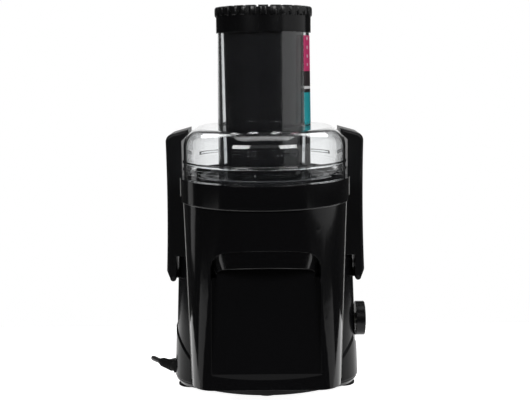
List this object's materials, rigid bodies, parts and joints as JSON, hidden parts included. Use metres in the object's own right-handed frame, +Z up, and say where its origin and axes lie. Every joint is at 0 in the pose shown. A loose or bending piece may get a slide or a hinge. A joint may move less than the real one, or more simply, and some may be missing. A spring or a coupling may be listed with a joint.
{
  "type": "centrifugal juicer",
  "caption": "Centrifugal juicer with a wide feed tube and pusher, clear lid, side clamps, lift-out pulp container, sieve basket, motor base, knob and mains lead.",
  "frame": {"origin": "centre of the overall box without the cord, on the table under the feet", "axes": "+Z up along the spin axis, -Y towards the pulp container, +Y along the spout, +X the side of the knob"},
  "size_m": [0.2229, 0.3235, 0.3803],
  "materials": {
    "base_shell": "gloss black",
    "container_plastic": "high gloss black",
    "pusher_plastic": "gloss black",
    "grip_plastic": "satin black",
    "clamp_plastic": "satin black",
    "knob_plastic": "satin black",
    "clear_plastic": "clear",
    "bowl_plastic": "gloss black",
    "coupling_plastic": "satin dark grey",
    "sieve_steel": "fine perforated steel",
    "steel": "plain",
    "lamination": "bare laminations",
    "copper": "enamelled copper",
    "cast_bracket": "die cast",
    "carbon": "pressed carbon",
    "pin_metal": "plain",
    "switch_plastic": "plain",
    "foot_rubber": "soft black",
    "cord_jacket": "smooth black",
    "tie_plastic": "satin black",
    "plug_plastic": "moulded black"
  },
  "bodies": {
    "base": {"base_housing": "base_shell", "bottom_cover": "base_shell", "cover_screws": "steel", "suction_feet": "foot_rubber", "clamp_pins": "steel", "shaft_seal": "foot_rubber", "strain_relief": "foot_rubber", "stator_core": "lamination", "field_coils": "copper", "upper_bracket": "cast_bracket", "lower_bracket": "cast_bracket", "upper_bearing": "steel", "lower_bearing": "steel", "brush_holders": "pin_metal", "carbon_brushes": "carbon", "brush_springs": "steel", "motor_bolts": "steel", "mount_grommets": "foot_rubber", "mount_screws": "steel", "rotary_switch": "switch_plastic", "safety_switch": "switch_plastic", "suppressor_capacitor": "switch_plastic", "seal_carrier": "base_shell", "juice_bowl": "bowl_plastic", "bowl_floor": "bowl_plastic", "juice_spout": "bowl_plastic", "mains_lead": "cord_jacket", "cord_coil": "cord_jacket", "cord_tie": "tie_plastic", "plug_body": "plug_plastic", "plug_pins": "pin_metal"},
    "rotor": {"motor_shaft": "steel", "armature_core": "lamination", "armature_windings": "copper", "commutator": "copper", "cooling_fan": "coupling_plastic", "drive_coupling": "coupling_plastic", "sieve_hub": "coupling_plastic", "sieve_basket": "sieve_steel", "grating_disc": "sieve_steel", "basket_rim": "coupling_plastic"},
    "lid": {"lid": "clear_plastic"},
    "pusher": {"pusher_cup": "pusher_plastic", "pusher_grip_ring": "grip_plastic"},
    "right_clamp": {"right_clamp": "clamp_plastic", "right_clamp_liner": "clamp_plastic"},
    "left_clamp": {"left_clamp": "clamp_plastic", "left_clamp_liner": "clamp_plastic"},
    "pulp_container": {"pulp_container": "container_plastic"},
    "knob": {"speed_knob": "knob_plastic", "knob_spindle": "steel"},
    "safety_plunger": {"safety_plunger": "knob_plastic"}
  },
  "joints": [
    {"name": "drive_spin", "type": "hinge", "parent": "base", "child": "rotor", "pos_m": [0, 0, 0.15], "axis": [0, 0, 1], "continuous": true},
    {"name": "lid_lift", "type": "slide", "parent": "base", "child": "lid", "axis": [0, 0, 1], "range_m": [0, 0.1]},
    {"name": "pusher_slide", "type": "slide", "parent": "lid", "child": "pusher", "axis": [0, 0, 1], "range_m": [0, 0.16]},
    {"name": "right_clamp_swing", "type": "hinge", "parent": "base", "child": "right_clamp", "pos_m": [0.09108, 0, 0.118], "axis": [0, 1, 0], "range_deg": [0, 80]},
    {"name": "left_clamp_swing", "type": "hinge", "parent": "base", "child": "left_clamp", "pos_m": [-0.09108, 0, 0.118], "axis": [0, -1, 0], "range_deg": [0, 80]},
    {"name": "pulp_container_slide", "type": "slide", "parent": "base", "child": "pulp_container", "axis": [0, -1, 0], "range_m": [0, 0.15]},
    {"name": "speed_knob_turn", "type": "hinge", "parent": "base", "child": "knob", "pos_m": [0.093, 0, 0.0697], "axis": [1, 0, 0], "range_deg": [-40, 80]},
    {"name": "safety_plunger_slide", "type": "slide", "parent": "base", "child": "safety_plunger", "axis": [1, 0, 0], "range_m": [0, 0.004]}
  ],
  "couplings": [
    {"joint": "right_clamp_swing", "follows": "lid_lift", "rad_per_m": 13.96},
    {"joint": "left_clamp_swing", "follows": "lid_lift", "rad_per_m": 13.96},
    {"joint": "safety_plunger_slide", "follows": "lid_lift", "ratio": 0.04}
  ]
}
